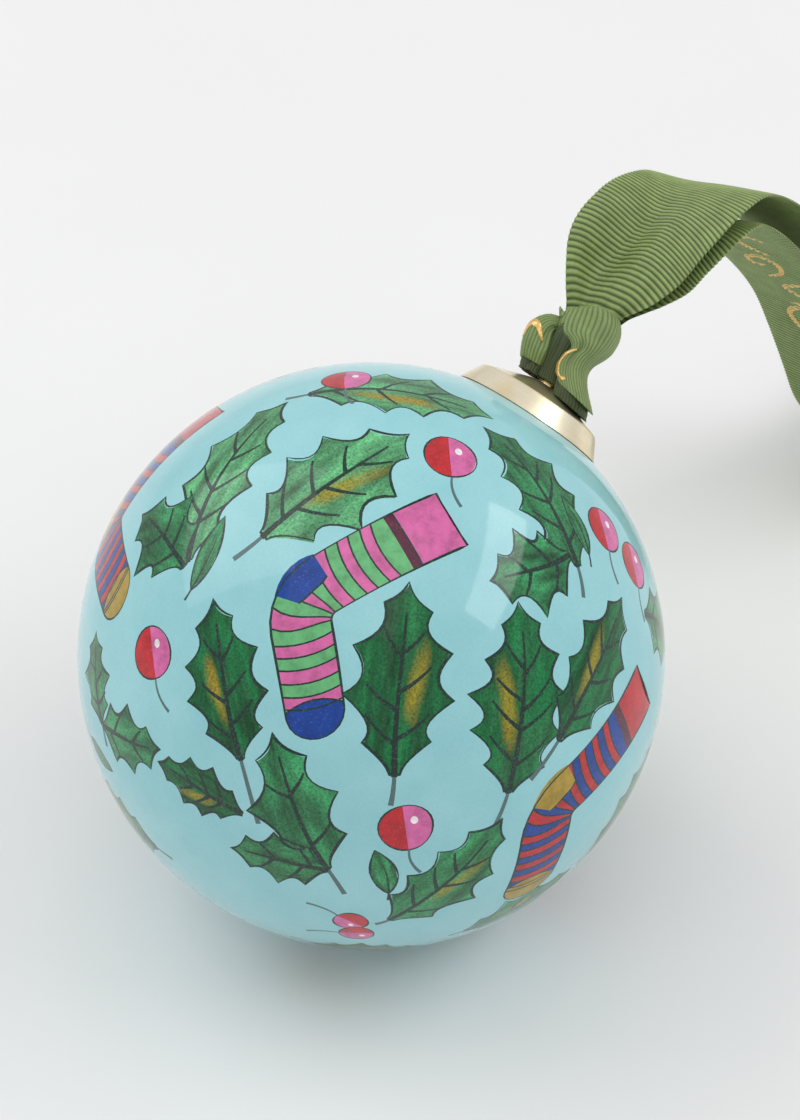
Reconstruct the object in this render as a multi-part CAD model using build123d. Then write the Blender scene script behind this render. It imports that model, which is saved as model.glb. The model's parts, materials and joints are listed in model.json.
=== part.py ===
from build123d import *
import os
from math import cos, radians, sin, sqrt

# A glass Christmas bauble lying on a table, propped by the ribbon that it hangs from.
# Millimetres and degrees. The origin is the ball's lowest point, which rests on the
# table, and the cap's axis lies in the XZ plane, leaning from +Z towards +X.

# Glass ball
BALL_RADIUS = 40.0
GLASS_WALL = 1.8
NECK_RADIUS = 7.0
NECK_BORE = 5.2
NECK_TOP = 41.2  # heights along the cap's axis are measured from the ball's centre
CAP_AXIS_RISE = 37.5  # the cap's axis above the table

# Brass cap, spun from sheet
CAP_RIM_RADIUS = 11.05
CAP_SIDE_HEIGHT = 3.1
CAP_EDGE_RADIUS = 9.3
CAP_LAND_RADIUS = 3.0
CAP_HEIGHT = 5.3
CAP_SHEET = 0.5
CAP_EDGE_FILLET = 0.6
CAP_HOLE_RADIUS = 1.25
SEAT_GAP = 0.06  # between the cap's rim and the glass

# Hanger eye, turned brass, peened over a washer inside the cap
SHANK_RADIUS = 1.2
FLANGE_RADIUS = 1.7
FLANGE_THICKNESS = 0.5
END_FLOAT = 0.05
LUG_RADIUS = 1.3
LUG_THICKNESS = 1.2
EYE_HOLE_RADIUS = 0.72
EYE_HOLE_RISE = 1.15  # the cross hole's centre above the flange
WASHER_RADIUS = 2.6
WASHER_THICKNESS = 0.5
PEENED_RADIUS = 1.8
PEENED_THICKNESS = 0.6

# Hanger ring, round brass wire
WIRE_RADIUS = 0.6
RING_RADIUS = 3.4
HANGER_TURN = 32.0  # the ring's axis, turned about the cap's axis from level
RING_LEAN = -8.0  # to the left leg's side

# Ribbon, 22 mm wide, tied through the ring
STRAND_THICKNESS = 0.9
SOFT_GAP = 0.35
LEG_DEPTH = 5.8
LEG_BOTTOM = 45.1
KNOT_BOTTOM = 50.2
KNOT_TOP = 53.8
KNOT_DEPTH = 6.4
LEFT_LEG = (-5.4, -2.3)
RIGHT_LEG = (1.9, 6.2)
KNOT_SPAN = (-5.0, 4.8)
BRIDGE_RADIUS = 1.3
BRIDGE_RISE = 1.1  # above the ring's centre

# The lower strand of the loop: where its middle passes, and the way that it is wide.
# It rises along the cap's axis, bends over, falls and runs out along the table.
STRAND = [
    ((44.0, 0.6, 72.2), (3.2, -5.9, -2.1)),
    ((48.5, 0.5, 75.9), (6.5, -11.3, -6.8)),
    ((55.3, 1.0, 78.2), (8.8, -15.1, -9.5)),
    ((63.5, 2.1, 79.2), (10.6, -15.2, -8.0)),
    ((72.8, 3.3, 77.6), (10.7, -16.1, -4.5)),
    ((83.0, 3.8, 72.0), (8.8, -18.5, -0.5)),
    ((93.0, 3.7, 61.0), (7.3, -19.8, 4.0)),
    ((102.0, 3.1, 45.0), (7.7, -19.4, 6.0)),
    ((111.0, 2.6, 26.0), (7.7, -19.4, 6.0)),
    ((120.0, 2.8, 10.0), (6.0, -20.6, 2.0)),
    ((130.0, 3.5, 2.0), (4.9, -20.9, 0.0)),
    ((141.0, 5.0, 0.45), (3.9, -21.3, 0.0)),
    ((153.0, 7.0, 0.45), (3.9, -21.3, 0.0)),
]
# How far the upper strand lies above the lower one at each of those places.
STRAND_LIFT = [1.9, 1.9, 1.9, 2.0, 2.1, 2.3, 2.6, 3.0, 3.6, 4.6, 7.0, 10.0, 12.0]
BIGHT_STEPS = 6

BALL_CENTRE = Vector(0, 0, BALL_RADIUS)
CAP_AXIS = Vector(cos(radians(CAP_AXIS_RISE)), 0, sin(radians(CAP_AXIS_RISE)))
RING_AXIS_LEVEL = Vector(0, -1, 0).rotate(Axis((0, 0, 0), CAP_AXIS), HANGER_TURN)

# The cap's frame stands on the ball's centre, its Z is the cap's axis and its X is the
# way that the ribbon passes through the ring.
CAP_FRAME = Plane(origin=BALL_CENTRE, x_dir=RING_AXIS_LEVEL, z_dir=CAP_AXIS)

CAP_RIM_HEIGHT = sqrt(BALL_RADIUS**2 - CAP_RIM_RADIUS**2) + SEAT_GAP
CAP_TOP = CAP_RIM_HEIGHT + CAP_HEIGHT
FLANGE_TOP = CAP_TOP + END_FLOAT + FLANGE_THICKNESS
EYE_HOLE_HEIGHT = FLANGE_TOP + EYE_HOLE_RISE

# The ring's frame stands on the eye's cross hole, and leans as the ring does.
RING_FRAME = Plane.XY.offset(EYE_HOLE_HEIGHT) * Rotation(0, RING_LEAN, 0)


def box_between(x_span, depth, z_span):
    """A box centred on Y, given by its ends along X and Z."""
    width, height = x_span[1] - x_span[0], z_span[1] - z_span[0]
    low = Pos(x_span[0], -depth / 2, z_span[0])
    return low * Box(width, depth, height, align=(Align.MIN, Align.MIN, Align.MIN))


def disc(radius, bottom, height):
    """A cylinder on the cap's axis."""
    standing = (Align.CENTER, Align.CENTER, Align.MIN)
    return Pos(0, 0, bottom) * Cylinder(radius, height, align=standing)


def glass_ball():
    """A blown sphere with a short ground neck that the cap hides."""
    low = BALL_RADIUS - 6
    outside = Sphere(BALL_RADIUS) + disc(NECK_RADIUS, low, NECK_TOP - low)
    inside = Sphere(BALL_RADIUS - GLASS_WALL) + disc(NECK_BORE, low, NECK_TOP)
    return outside - inside


def cap():
    """A low dome: a coned side, a coned top and a flat land with the eye's hole."""
    edge_height = CAP_RIM_HEIGHT + CAP_SIDE_HEIGHT
    inner_rim = CAP_RIM_RADIUS - 1.2 * CAP_SHEET
    inner_rim_height = sqrt(BALL_RADIUS**2 - inner_rim**2) + SEAT_GAP
    outline = Polyline(
        (CAP_RIM_RADIUS, CAP_RIM_HEIGHT),
        (CAP_EDGE_RADIUS, edge_height),
        (CAP_LAND_RADIUS, CAP_TOP),
        (CAP_HOLE_RADIUS, CAP_TOP),
        (CAP_HOLE_RADIUS, CAP_TOP - CAP_SHEET),
        (CAP_LAND_RADIUS - 0.1, CAP_TOP - CAP_SHEET),
        (CAP_EDGE_RADIUS - CAP_SHEET, edge_height - CAP_SHEET),
        (inner_rim, inner_rim_height),
        close=True,
    )
    section = make_face(Plane.XZ * outline)
    shell = revolve(section, Axis.Z)
    corner = [e for e in shell.edges() if abs(e.center().Z - edge_height) < 0.01]
    return fillet(corner, CAP_EDGE_FILLET)


def cap_cement():
    """The bead of cement between the neck and the cap's side."""
    bead_top = NECK_TOP - 0.2
    cone = Pos(0, 0, (bead_top + CAP_RIM_HEIGHT) / 2) * Cone(
        CAP_RIM_RADIUS - 1.0, CAP_EDGE_RADIUS - 1.0, bead_top - CAP_RIM_HEIGHT
    )
    bore = disc(NECK_RADIUS + SEAT_GAP, CAP_RIM_HEIGHT - 1, 4)
    return cone - bore - Sphere(BALL_RADIUS + SEAT_GAP / 2)


def hanger_eye():
    """A flanged post with a cross hole, its shank peened over inside the cap."""
    washer_bottom = CAP_TOP - CAP_SHEET - END_FLOAT - WASHER_THICKNESS
    shank_bottom = washer_bottom - PEENED_THICKNESS
    shank = disc(SHANK_RADIUS, shank_bottom, FLANGE_TOP - shank_bottom)
    flange = disc(FLANGE_RADIUS, CAP_TOP + END_FLOAT, FLANGE_THICKNESS)
    peened = disc(PEENED_RADIUS, shank_bottom, PEENED_THICKNESS)
    peened = fillet(peened.edges().sort_by(Axis.Z)[0], PEENED_THICKNESS / 2)
    stem_span = (FLANGE_TOP - FLANGE_THICKNESS / 2, EYE_HOLE_HEIGHT)
    stem = box_between((-LUG_RADIUS, LUG_RADIUS), LUG_THICKNESS, stem_span)
    crosswise = Pos(0, 0, EYE_HOLE_HEIGHT) * Rotation(90, 0, 0)
    head = crosswise * Cylinder(LUG_RADIUS, LUG_THICKNESS)
    hole = crosswise * Cylinder(EYE_HOLE_RADIUS, 2 * LUG_THICKNESS)
    return shank + flange + peened + stem + head - hole


def eye_washer():
    """The washer that the shank is peened over."""
    bottom = CAP_TOP - CAP_SHEET - END_FLOAT - WASHER_THICKNESS
    blank = disc(WASHER_RADIUS, bottom, WASHER_THICKNESS)
    return blank - disc(SHANK_RADIUS + 0.02, bottom - 1, 3)


def ring_torus(wire_radius):
    """The ring, or the channel round it, standing in the eye's cross hole."""
    upright = Rotation(0, 90, 0)
    return RING_FRAME * Pos(0, 0, RING_RADIUS) * upright * Torus(RING_RADIUS, wire_radius)


def ribbon_knot():
    """The two legs that pass through the ring, and the knot drawn tight over it."""
    left = box_between(LEFT_LEG, LEG_DEPTH, (LEG_BOTTOM, KNOT_TOP - 1))
    right = box_between(RIGHT_LEG, LEG_DEPTH, (LEG_BOTTOM, KNOT_TOP - 1))
    legs = fillet(left.edges().filter_by(Axis.Z), 0.8)
    legs += fillet(right.edges().filter_by(Axis.Z), 1.2)
    knot = box_between(KNOT_SPAN, KNOT_DEPTH, (KNOT_BOTTOM, KNOT_TOP))
    knot = fillet(knot.edges().filter_by(Axis.Z), 2.0)
    across = Pos(0, 0, RING_RADIUS + BRIDGE_RISE) * Rotation(0, 90, 0)
    bridge = RING_FRAME * across * Cylinder(BRIDGE_RADIUS, RIGHT_LEG[0] - LEFT_LEG[1] + 2)
    return legs + knot + bridge - ring_torus(WIRE_RADIUS + SOFT_GAP)


def strand_frames():
    """The lower strand's middles, width vectors, and the way from it to the upper one."""
    middles = [Vector(*middle) for middle, _ in STRAND]
    last = len(middles) - 1
    frames = []
    for i, (_, width) in enumerate(STRAND):
        along = middles[min(i + 1, last)] - middles[max(i - 1, 0)]
        along = along.normalized()
        across = Vector(*width)
        across = across - along * across.dot(along)
        frames.append((middles[i], across, across.cross(along).normalized()))
    return frames


def strand_section(middle, across, outward):
    """The rectangle of one cross-section of the ribbon."""
    side, half = across / 2, outward * (STRAND_THICKNESS / 2)
    corners = [middle - side - half, middle + side - half]
    corners += [middle + side + half, middle - side + half]
    return Face(Wire.make_polygon(corners, close=True))


def ribbon_loop():
    """The loop above the knot: out along the upper strand and back along the lower."""
    frames = strand_frames()
    upper = [
        strand_section(middle + up * lift, across, up)
        for (middle, across, up), lift in zip(frames, STRAND_LIFT)
    ]
    lower = [strand_section(middle, across, up * -1) for middle, across, up in frames]
    middle, across, up = frames[-1]
    onward = up.cross(across).normalized()
    radius = STRAND_LIFT[-1] / 2
    bight = []
    for step in range(1, BIGHT_STEPS):
        angle = 180.0 * step / BIGHT_STEPS
        outward = up * cos(radians(angle)) + onward * sin(radians(angle))
        bight.append(strand_section(middle + up * radius + outward * radius, across, outward))
    return loft(upper + bight + lower[::-1], ruled=True)


os.makedirs("parts", exist_ok=True)
NODES = {
    "glass_ball": CAP_FRAME.location * glass_ball(),
    "cap": CAP_FRAME.location * cap(),
    "cap_cement": CAP_FRAME.location * cap_cement(),
    "hanger_eye": CAP_FRAME.location * hanger_eye(),
    "eye_washer": CAP_FRAME.location * eye_washer(),
    "hanger_ring": CAP_FRAME.location * ring_torus(WIRE_RADIUS),
    "ribbon_knot": CAP_FRAME.location * ribbon_knot(),
    "ribbon_loop": ribbon_loop(),
}
for node, shape in NODES.items():
    export_step(shape, f"parts/{node}.step")

eye_hole = CAP_FRAME.from_local_coords((0, 0, EYE_HOLE_HEIGHT))
ring_centre = CAP_FRAME.from_local_coords((RING_FRAME * Pos(0, 0, RING_RADIUS)).position)
print("cap axis", CAP_AXIS, "cap top", CAP_FRAME.from_local_coords((0, 0, CAP_TOP)))
print("eye hole", eye_hole, "its axis", CAP_FRAME.y_dir)
print("ring centre", ring_centre)
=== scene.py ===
import json
import math
import random

import bpy
import numpy as np
from mathutils import Matrix, Vector
from mathutils.geometry import delaunay_2d_cdt


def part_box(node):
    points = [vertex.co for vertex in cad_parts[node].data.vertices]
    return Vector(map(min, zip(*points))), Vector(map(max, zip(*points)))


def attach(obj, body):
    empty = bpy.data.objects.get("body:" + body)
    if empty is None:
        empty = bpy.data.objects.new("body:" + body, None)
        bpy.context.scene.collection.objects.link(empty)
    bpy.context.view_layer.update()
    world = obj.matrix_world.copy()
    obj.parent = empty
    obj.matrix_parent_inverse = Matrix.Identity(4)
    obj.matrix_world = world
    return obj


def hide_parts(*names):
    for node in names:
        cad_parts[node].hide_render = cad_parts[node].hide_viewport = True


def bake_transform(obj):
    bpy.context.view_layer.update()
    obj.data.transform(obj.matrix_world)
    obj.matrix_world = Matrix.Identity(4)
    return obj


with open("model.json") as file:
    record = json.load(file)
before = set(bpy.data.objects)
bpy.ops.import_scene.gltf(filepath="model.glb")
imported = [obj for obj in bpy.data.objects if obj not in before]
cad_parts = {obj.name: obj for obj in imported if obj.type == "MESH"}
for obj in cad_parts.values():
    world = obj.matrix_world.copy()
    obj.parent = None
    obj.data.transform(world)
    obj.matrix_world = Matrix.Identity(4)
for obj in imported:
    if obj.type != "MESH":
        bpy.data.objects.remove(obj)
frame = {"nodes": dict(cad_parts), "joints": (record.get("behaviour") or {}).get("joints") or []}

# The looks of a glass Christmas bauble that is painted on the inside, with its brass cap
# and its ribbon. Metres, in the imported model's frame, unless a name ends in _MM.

MM = 0.001
TURN = 2 * math.pi

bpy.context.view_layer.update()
JOINTS = {joint["name"]: joint for joint in frame["joints"]}

# The ball stands on the origin, and its lowest X is one radius out.
BALL_RADIUS = -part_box("glass_ball")[0].x
BALL_MM = BALL_RADIUS / MM
BALL_CENTRE = Vector((0, 0, BALL_RADIUS))

# The cap's frame: up along the cap's axis, right across its front, and out to the viewer.
CAP_UP = Vector(JOINTS["eye_swivel"]["axis"]).normalized()
CAP_OUT = -Vector(JOINTS["ring_swing"]["axis"]).normalized()
CAP_RIGHT = CAP_OUT.cross(CAP_UP) * -1


# ---------------------------------------------------------------- camera, light, floor

VIEW_AZIMUTH = math.radians(-46)
VIEW_ELEVATION = math.radians(40)
VIEW_DISTANCE = 425 * MM
VIEW_LENS = 100  # millimetres, on a frame 36 mm tall
AIM_RIGHT = 3.9 * MM  # where the camera looks, from the ball's centre
AIM_UP = 13.0 * MM


def direction(azimuth, elevation):
    """The way from the object to a viewer there. Azimuth 0 is -Y, and +90 is +X."""
    level = math.cos(elevation)
    return Vector((math.sin(azimuth) * level, -math.cos(azimuth) * level, math.sin(elevation)))


def add_camera():
    """A portrait camera at the studio's angle, with no shift and no blur."""
    back = direction(VIEW_AZIMUTH, VIEW_ELEVATION)
    right = Vector((math.cos(VIEW_AZIMUTH), math.sin(VIEW_AZIMUTH), 0))
    up = back.cross(right)
    data = bpy.data.cameras.new("camera")
    data.sensor_fit = "VERTICAL"
    data.sensor_height = 36
    data.lens = VIEW_LENS
    data.clip_start = 0.01
    data.clip_end = 20
    camera = bpy.data.objects.new("camera", data)
    bpy.context.scene.collection.objects.link(camera)
    place = BALL_CENTRE + right * AIM_RIGHT + up * AIM_UP + back * VIEW_DISTANCE
    axes = Matrix((right, up, back)).transposed()
    camera.matrix_world = Matrix.Translation(place) @ axes.to_4x4()
    bpy.context.scene.camera = camera


def add_softbox(name, azimuth, elevation, distance, size, strength):
    """A rectangular soft light that looks at the ball, placed by angles from the camera."""
    data = bpy.data.lights.new(name, "AREA")
    data.shape = "RECTANGLE"
    data.size, data.size_y = size
    data.energy = strength * size[0] * size[1] * math.pi  # strength is its radiance
    light = bpy.data.objects.new(name, data)
    bpy.context.scene.collection.objects.link(light)
    way = direction(VIEW_AZIMUTH + math.radians(azimuth), math.radians(elevation))
    light.location = BALL_CENTRE + way * distance
    light.rotation_mode = "QUATERNION"
    light.rotation_quaternion = way.to_track_quat("Z", "Y")


def add_surroundings():
    """A pale room, darker low down, that lights the object softly from all round."""
    world = bpy.data.worlds.new("studio")
    world.use_nodes = True
    nodes = Nodes(world)
    nodes.tree.nodes.clear()
    height = nodes.split(nodes.add("ShaderNodeTexCoord").outputs["Generated"], "Z")
    shade = nodes.ramp(height, [(0.0, 0.58), (0.12, 0.63), (0.5, 0.67), (1.0, 0.67)])
    background = nodes.add("ShaderNodeBackground", {"Color": shade, "Strength": 1.0})
    output = nodes.add("ShaderNodeOutputWorld", {"Surface": background.outputs["Background"]})
    output.is_active_output = True
    bpy.context.scene.world = world


def add_floor():
    """A wide pale floor with the faint mottling of a painted board."""
    half = 3.0
    corners = [(-half, -half, 0), (half, -half, 0), (half, half, 0), (-half, half, 0)]
    floor = mesh_object("floor", corners, [(0, 1, 2, 3)])
    material, nodes, shader = principled("floor_board", roughness=0.6, specular=0.2)
    place = nodes.add("ShaderNodeTexCoord").outputs["Object"]
    mottle = nodes.noise(place, scale=9, detail=3)
    nodes.link(nodes.ramp(mottle, [(0.3, (0.83,) * 3), (0.7, (0.85,) * 3)]), shader, "Base Color")
    floor.data.materials.append(material)


# ---------------------------------------------------------------- nodes and meshes


class Nodes:
    """A node tree, with short calls for the nodes that the materials use."""

    def __init__(self, owner):
        self.tree = owner.node_tree

    def add(self, kind, inputs=None, **settings):
        node = self.tree.nodes.new(kind)
        for name, value in settings.items():
            setattr(node, name, value)
        for name, value in (inputs or {}).items():
            self.link(value, node, name)
        return node

    def link(self, value, node, name):
        socket = node.inputs[name]
        if isinstance(value, bpy.types.NodeSocket):
            self.tree.links.new(value, socket)
        elif isinstance(value, (tuple, list)) and socket.type == "RGBA":
            socket.default_value = (*value[:3], 1.0)
        else:
            socket.default_value = value

    def math(self, operation, a, b=0.0, c=0.0):
        return self.add("ShaderNodeMath", {0: a, 1: b, 2: c}, operation=operation).outputs[0]

    def times(self, a, b):
        return self.math("MULTIPLY", a, b)

    def vector(self, operation, a, b=(0, 0, 0)):
        node = self.add("ShaderNodeVectorMath", {0: a}, operation=operation)
        self.link(b, node, "Scale" if operation == "SCALE" else 1)
        return node.outputs["Value" if operation in ("LENGTH", "DOT_PRODUCT") else "Vector"]

    def split(self, vector, axis):
        return self.add("ShaderNodeSeparateXYZ", {"Vector": vector}).outputs[axis]

    def join(self, x, y, z=0.0):
        return self.add("ShaderNodeCombineXYZ", {"X": x, "Y": y, "Z": z}).outputs[0]

    def noise(self, vector, scale, detail=2.0, roughness=0.5):
        inputs = {"Vector": vector, "Scale": scale, "Detail": detail, "Roughness": roughness}
        return self.add("ShaderNodeTexNoise", inputs).outputs["Fac"]

    def ramp(self, value, stops):
        """Colours against a value, or a smooth grey curve where the stops are numbers."""
        node = self.add("ShaderNodeValToRGB", {"Fac": value})
        line = node.color_ramp.elements
        while len(line) < len(stops):
            line.new(0.5)
        for element, (place, colour) in zip(line, stops):
            element.position = place
            grey = isinstance(colour, (int, float))
            element.color = (*((colour,) * 3 if grey else colour), 1.0)
        return node.outputs["Color"]

    def mix(self, share, a, b, blend="MIX"):
        node = self.add("ShaderNodeMix", data_type="RGBA", blend_type=blend)
        for index, value in ((0, share), (6, a), (7, b)):
            self.link(value, node, index)
        return node.outputs[2]

    def shaded(self, colour, shade):
        """A colour multiplied by another, or by a grey."""
        return self.mix(1.0, colour, shade, "MULTIPLY")

    def attribute(self, name, output="Vector"):
        return self.add("ShaderNodeAttribute", attribute_name=name).outputs[output]

    def place_mm(self):
        """Where each point of the piece is, in millimetres."""
        place = self.add("ShaderNodeTexCoord").outputs["Object"]
        return self.vector("SCALE", place, 1 / MM)

    def bump(self, height, strength, distance):
        inputs = {"Height": height, "Strength": strength, "Distance": distance}
        return self.add("ShaderNodeBump", inputs).outputs["Normal"]


def principled(name, roughness, metallic=0.0, specular=0.5):
    """A new material, its nodes and its shader."""
    material = bpy.data.materials.new(name)
    material.use_nodes = True
    nodes = Nodes(material)
    shader = material.node_tree.nodes["Principled BSDF"]
    shader.inputs["Roughness"].default_value = roughness
    shader.inputs["Metallic"].default_value = metallic
    shader.inputs["Specular IOR Level"].default_value = specular
    return material, nodes, shader


def mesh_object(name, points, faces):
    """A new, smoothly shaded mesh object in the scene."""
    mesh = bpy.data.meshes.new(name)
    mesh.from_pydata([tuple(p) for p in points], [], [tuple(int(i) for i in f) for f in faces])
    mesh.update()
    mesh.polygons.foreach_set("use_smooth", [True] * len(mesh.polygons))
    made = bpy.data.objects.new(name, mesh)
    bpy.context.scene.collection.objects.link(made)
    return made


# ---------------------------------------------------------------- places on the ball


def unit(latitude, longitude):
    """A direction in the cap's frame (out, right, up), from angles in degrees."""
    lat, lon = math.radians(latitude), math.radians(longitude)
    return np.array([math.cos(lat) * math.cos(lon), math.cos(lat) * math.sin(lon), math.sin(lat)])


class Spot:
    """A place on the ball with a heading: the flat sheet that one motif is drawn on.

    Latitude runs up to the cap and longitude round it from the front, and the heading
    turns from right (0) towards the cap (90), all in degrees."""

    def __init__(self, latitude, longitude, heading):
        self.out = unit(latitude, longitude)
        lon, turn = math.radians(longitude), math.radians(heading)
        right = np.array([-math.sin(lon), math.cos(lon), 0])
        up = np.cross(self.out, right)
        self.ahead = right * math.cos(turn) + up * math.sin(turn)
        self.left = np.cross(self.out, self.ahead)

    def on_ball(self, drawn):
        """Directions on the ball of points drawn in millimetres on this spot's sheet."""
        drawn = np.asarray(drawn, float)
        far = np.maximum(np.hypot(drawn[:, 0], drawn[:, 1]), 1e-9)
        turn = (far / BALL_MM)[:, None]
        way = (drawn[:, :1] * self.ahead + drawn[:, 1:2] * self.left) / far[:, None]
        return self.out * np.cos(turn) + way * np.sin(turn)

    def drawn(self, directions):
        """The inverse of on_ball."""
        ahead, left = directions @ self.ahead, directions @ self.left
        level = np.maximum(np.hypot(ahead, left), 1e-9)
        far = BALL_MM * np.arctan2(level, directions @ self.out)
        return np.stack([ahead / level * far, left / level * far], 1)


def flattened(directions):
    """Stereographic projection from the cap's pole: circles stay circles."""
    return directions[:, :2] * (2 * BALL_MM / (1 - directions[:, 2:3]))


def flat_outline(directions):
    """The flattened outline, counterclockwise."""
    flat = flattened(directions)
    after = np.roll(flat, -1, 0)
    area = (flat[:, 0] * after[:, 1] - flat[:, 1] * after[:, 0]).sum()
    return flat if area > 0 else flat[::-1]


def raised(flat):
    """The inverse of flattened."""
    scaled = flat / BALL_MM
    square = (scaled**2).sum(1, keepdims=True)
    return np.hstack([4 * scaled, square - 4]) / (square + 4)


# ---------------------------------------------------------------- drawing the motifs

GROUND, LEAF, PIGMENT, INK = range(4)

INK_DARK = (0.008, 0.030, 0.020)
INK_STEM = (0.085, 0.150, 0.155)
DARK_LEAF = (0.003, 0.105, 0.030)
MIDDLE_LEAF = (0.026, 0.195, 0.072)
LIGHT_LEAF = (0.080, 0.300, 0.130)
RED = (0.500, 0.018, 0.026)
PINK = (0.640, 0.135, 0.360)
DOT_WHITE = (0.86, 0.80, 0.82)
STRIPE_GREEN = (0.130, 0.450, 0.180)
MAROON = (0.100, 0.012, 0.040)
BLUE = (0.004, 0.050, 0.300)
OCHRE = (0.390, 0.270, 0.030)

BERRY_STEM_MM = 5.0
SMALL_STEM_MM = 1.5


class Layer:
    """One painted shape: its outline on the ball, a hole in it, and how it's painted."""

    def __init__(self, spot, outline, paint, colour, hole=None, wash=None):
        self.spot = spot
        self.outline = spot.on_ball(outline)
        self.hole = None if hole is None else spot.on_ball(hole)
        self.paint = paint
        self.colour = colour
        self.wash = wash  # (length, half width, side of the ochre wash, seed)


def bezier(a, control, b, count):
    """Points on a quadratic curve from a up to, but without, b."""
    a, control, b = (np.asarray(p, float) for p in (a, control, b))
    t = np.linspace(0, 1, count, endpoint=False)[:, None]
    return (1 - t) ** 2 * a + 2 * t * (1 - t) * control + t**2 * b


def sideways(points, closed):
    """The unit vector to the left of a line, at each of its points."""
    if closed:
        along = np.roll(points, -1, 0) - np.roll(points, 1, 0)
    else:
        along = np.gradient(points, axis=0)
    along = along / np.maximum(np.linalg.norm(along, axis=1, keepdims=True), 1e-9)
    return np.stack([-along[:, 1], along[:, 0]], 1)


def pen_line(spot, points, start, end, colour=INK_DARK):
    """A pen stroke whose half width goes from start to end, in millimetres."""
    points = np.asarray(points, float)
    half = np.linspace(start, end, len(points))[:, None]
    side = sideways(points, closed=False)
    outline = np.vstack([points + side * half, (points - side * half)[::-1]])
    return Layer(spot, outline, INK, colour)


def pen_outline(spot, points, half, rng):
    """A pen line round a closed shape, a little heavier in some places than in others."""
    side = sideways(points, closed=True)
    phase = rng.uniform(0, TURN)
    swing = np.sin(np.linspace(0, 3 * TURN, len(points)) + phase)[:, None]
    heavy = half * (1 + 0.35 * swing)
    return Layer(spot, points - side * heavy, INK, INK_DARK, hole=points + side * heavy)


def shifted(points, rng, amount):
    """The same shape, painted a little out of register with its pen line."""
    away = np.array([rng.uniform(-amount, amount), rng.uniform(-amount, amount)])
    swing = np.sin(np.linspace(0, 5 * TURN, len(points)) + rng.uniform(0, TURN))[:, None]
    return points + away + sideways(points, closed=True) * swing * amount * -0.5


class Midrib:
    """The curved middle line of a leaf, from u = 0 at the stem to u = 1 at the tip."""

    def __init__(self, length, bend):
        self.length = length
        self.bend = math.radians(bend) or 1e-4  # a straight one bends by next to nothing

    def at(self, u, across=0.0):
        """The point that far along and that far to the left, in millimetres."""
        start, now = -self.bend / 2, self.bend * (u - 0.5)
        radius = self.length / self.bend
        x = radius * (math.sin(now) - math.sin(start))
        y = -radius * (math.cos(now) - math.cos(start))
        return (x - math.sin(now) * across, y + math.cos(now) * across)


def holly_side(rib, width, spines, depth, side, rng):
    """One edge of a holly leaf: spines with hollow scallops between them."""
    tips = [(0.0, 0.05 * width)]
    for k in range(spines):
        u = (k + 0.75 + rng.uniform(-0.08, 0.08)) / (spines + 0.35)
        reach = 0.5 * width * math.sin(math.pi * u**0.9) ** 0.75
        tips.append((u, reach * rng.uniform(0.9, 1.1)))
    tips.append((1.0, 0.0))
    edge = []
    for (u, reach), (next_u, next_reach) in zip(tips, tips[1:]):
        low = max(min(reach, next_reach), 0.12 * width)
        valley = 0.55 * u + 0.45 * next_u
        points = [rib.at(u + 0.015, side * reach), rib.at(valley, side * low * depth)]
        edge += list(bezier(*points, rib.at(next_u + 0.015, side * next_reach), 7))
    return edge


def holly(spot, length, width, spines, bend, depth, tone, ochre, stem, rng):
    """A holly leaf: wash, pen outline, midrib, side veins and stem."""
    rib = Midrib(length, bend)
    right = holly_side(rib, width, spines, depth, -1, rng)
    left = holly_side(rib, width, spines, depth, 1, rng)
    outline = np.array(right + [rib.at(1.015)] + left[::-1])
    wash = (length, width / 2, ochre, rng.uniform(0, 50))
    layers = [Layer(spot, shifted(outline, rng, 0.22), LEAF, tone, wash=wash)]
    layers.append(pen_outline(spot, outline, 0.17, rng))
    if stem:
        way = [rib.at(-u * stem / length, 0.35 * u * u) for u in np.linspace(0, 1, 6)]
        layers.append(pen_line(spot, way, 0.26, 0.36, INK_STEM))
    middle = [rib.at(u, 0.12 * math.sin(6 * u)) for u in np.linspace(0, 0.86, 12)]
    layers.append(pen_line(spot, middle, 0.42, 0.16))
    veins = max(2, spines - 1)
    for k in range(veins):
        for side in (-1, 1):
            start = 0.12 + 0.62 * (k + rng.uniform(0.1, 0.6)) / veins
            end = start + 0.15 + rng.uniform(0, 0.05)
            reach = 0.36 * width * math.sin(math.pi * min(end, 0.95) ** 0.9) ** 0.75
            bow = [rib.at(start), rib.at(0.6 * start + 0.4 * end, side * reach * 0.62)]
            line = bezier(*bow, rib.at(end, side * reach), 6)
            layers.append(pen_line(spot, line, 0.30, 0.15))
    return layers


def small_leaf(spot, length, width, rng):
    """A plain lance-shaped leaf with one vein, which runs on into a short stem."""
    rib = Midrib(length, rng.choice([-28, 28]))
    half = width / 2
    edges = []
    for side in (-1, 1):
        belly = rib.at(0.45, side * half * 1.5)
        edges.append(list(bezier(rib.at(0), belly, rib.at(1), 12)))
    outline = np.array(edges[0] + [rib.at(1.0)] + edges[1][:0:-1])
    wash = (length, half, 0, rng.uniform(0, 50))
    layers = [Layer(spot, shifted(outline, rng, 0.15), LEAF, MIDDLE_LEAF, wash=wash)]
    layers.append(pen_outline(spot, outline, 0.13, rng))
    vein = [rib.at(u) for u in np.linspace(-SMALL_STEM_MM / length, 0.7, 8)]
    layers.append(pen_line(spot, vein, 0.16, 0.06))
    return layers


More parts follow.
